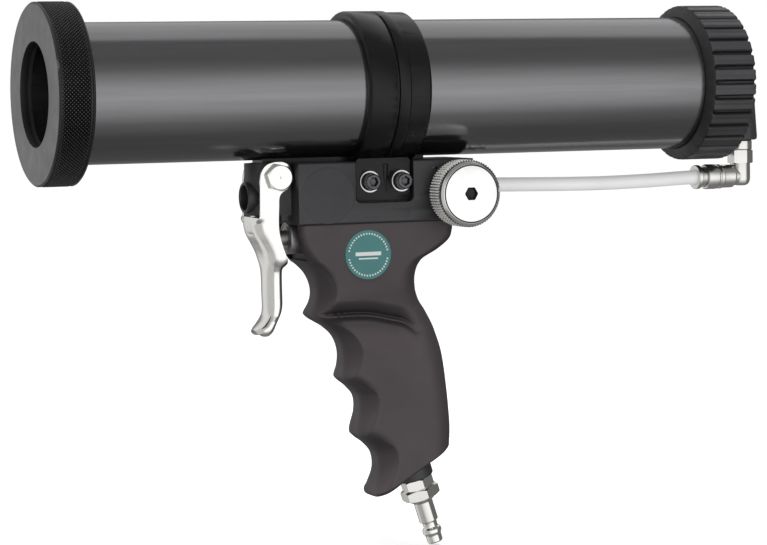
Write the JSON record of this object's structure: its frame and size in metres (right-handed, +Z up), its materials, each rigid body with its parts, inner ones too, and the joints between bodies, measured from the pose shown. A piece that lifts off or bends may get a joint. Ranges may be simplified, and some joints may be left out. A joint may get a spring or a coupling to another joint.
{
  "type": "pneumatic caulking gun",
  "caption": "Pistol-grip pneumatic caulking gun: straight closed barrel with a knurled front ring, ribbed rear cap, clamped frame with trigger, flow knob, air hose and quick-coupler inlet.",
  "frame": {"origin": "centre of the nozzle opening at the front ring's front face, on the barrel axis", "axes": "+X along the barrel towards the rear cap, +Y away from the regulator knob's side, +Z up with the grip hanging down"},
  "size_m": [0.3226, 0.0724, 0.2265],
  "materials": {
    "barrel_anodised": "satin anthracite anodised tube",
    "ring_anodised": "black anodised, diamond knurled rim, turned grey face",
    "cap_plastic": "black moulded plastic",
    "clamp_enamel": "gloss black enamel",
    "frame_anodised": "satin black",
    "grip_plastic": "fine-grained dark brown-grey moulding",
    "trigger_nickel": "bright nickel over a pressed lever",
    "bolt_nickel": "bright nickel",
    "knob_nickel": "bright nickel, straight knurled edge",
    "plug_nickel": "nickel-plated turned steel",
    "fitting_nickel": "nickel-plated brass",
    "valve_metal": "turned steel",
    "screw_steel": "blackened steel, bright washer rims",
    "spring_steel": "drawn wire",
    "pipe_aluminium": "plain tube",
    "piston_plastic": "plain black plastic",
    "rubber": "black seal rubber",
    "hose_plastic": "translucent light grey hose",
    "sticker_teal": "printed teal foil disc"
  },
  "bodies": {
    "gun": {"barrel_tube": "barrel_anodised", "rear_end_plug": "cap_plastic", "rear_seal_ring": "rubber", "barrel_clamp": "clamp_enamel", "clamp_washers": "screw_steel", "clamp_screws": "screw_steel", "frame_block": "frame_anodised", "exhaust_port": "frame_anodised", "nose_set_screw": "valve_metal", "trigger_bolt": "bolt_nickel", "trigger_nut": "bolt_nickel", "valve_gland": "valve_metal", "valve_body": "valve_metal", "valve_plug": "valve_metal", "valve_spring": "spring_steel", "regulator_bonnet": "frame_anodised", "grip": "grip_plastic", "sticker": "sticker_teal", "air_pipe": "pipe_aluminium", "inlet_bushing": "cap_plastic", "inlet_adapter": "bolt_nickel", "inlet_plug": "plug_nickel", "front_fitting": "fitting_nickel", "elbow_stud": "fitting_nickel", "rear_elbow": "fitting_nickel", "air_hose": "hose_plastic"},
    "front_seat": {"front_seat_washer": "piston_plastic"},
    "front_ring": {"front_ring": "ring_anodised"},
    "rear_ring": {"rear_ring_nut": "cap_plastic"},
    "thrust_piston": {"thrust_piston": "piston_plastic", "piston_seal": "rubber"},
    "trigger": {"trigger": "trigger_nickel"},
    "valve_stem": {"valve_stem": "valve_metal", "poppet_seal": "rubber"},
    "regulator_knob": {"regulator_knob": "knob_nickel", "regulator_spindle": "valve_metal"},
    "regulator_needle": {"regulator_needle": "valve_metal"},
    "front_release_collar": {"front_release_collar": "fitting_nickel"},
    "rear_release_collar": {"rear_release_collar": "fitting_nickel"}
  },
  "joints": [
    {"name": "front_seat_slide", "type": "slide", "parent": "gun", "child": "front_seat", "axis": [-1, 0, 0], "range_m": [0, 0.00905]},
    {"name": "front_ring_turn", "type": "hinge", "parent": "front_seat", "child": "front_ring", "pos_m": [0.007, 0, 0], "axis": [-1, 0, 0], "range_deg": [0, 2160]},
    {"name": "rear_ring_turn", "type": "hinge", "parent": "gun", "child": "rear_ring", "pos_m": [0.292, 0, 0], "axis": [1, 0, 0], "range_deg": [0, 720]},
    {"name": "piston_slide", "type": "slide", "parent": "gun", "child": "thrust_piston", "axis": [-1, 0, 0], "range_m": [0, 0.25]},
    {"name": "trigger_pull", "type": "hinge", "parent": "gun", "child": "trigger", "pos_m": [0.0971, 0, -0.0348], "axis": [0, -1, 0], "range_deg": [0, 9], "stiffness_Nm_per_rad": 1.5, "springref_deg": -11.46},
    {"name": "valve_stem_slide", "type": "slide", "parent": "gun", "child": "valve_stem", "axis": [1, 0, 0], "range_m": [0, 0.0041], "deforming": ["valve_spring"]},
    {"name": "regulator_turn", "type": "hinge", "parent": "gun", "child": "regulator_knob", "pos_m": [0.1722, -0.02, -0.043], "axis": [0, 1, 0], "range_deg": [-540, 540]},
    {"name": "regulator_needle_slide", "type": "slide", "parent": "gun", "child": "regulator_needle", "axis": [0, 1, 0], "range_m": [-0.00151, 0.00151]},
    {"name": "front_release_push", "type": "slide", "parent": "gun", "child": "front_release_collar", "axis": [-1, 0, 0], "range_m": [0, 0.0012], "stiffness_N_per_m": 200, "springref_m": -0.002},
    {"name": "rear_release_push", "type": "slide", "parent": "gun", "child": "rear_release_collar", "axis": [1, 0, 0], "range_m": [0, 0.0012], "stiffness_N_per_m": 200, "springref_m": -0.002}
  ],
  "couplings": [
    {"joint": "front_seat_slide", "follows": "front_ring_turn", "m_per_rad": 0.00023873},
    {"joint": "valve_stem_slide", "follows": "trigger_pull", "m_per_rad": 0.02517},
    {"joint": "regulator_needle_slide", "follows": "regulator_turn", "m_per_rad": 0.00015915}
  ]
}
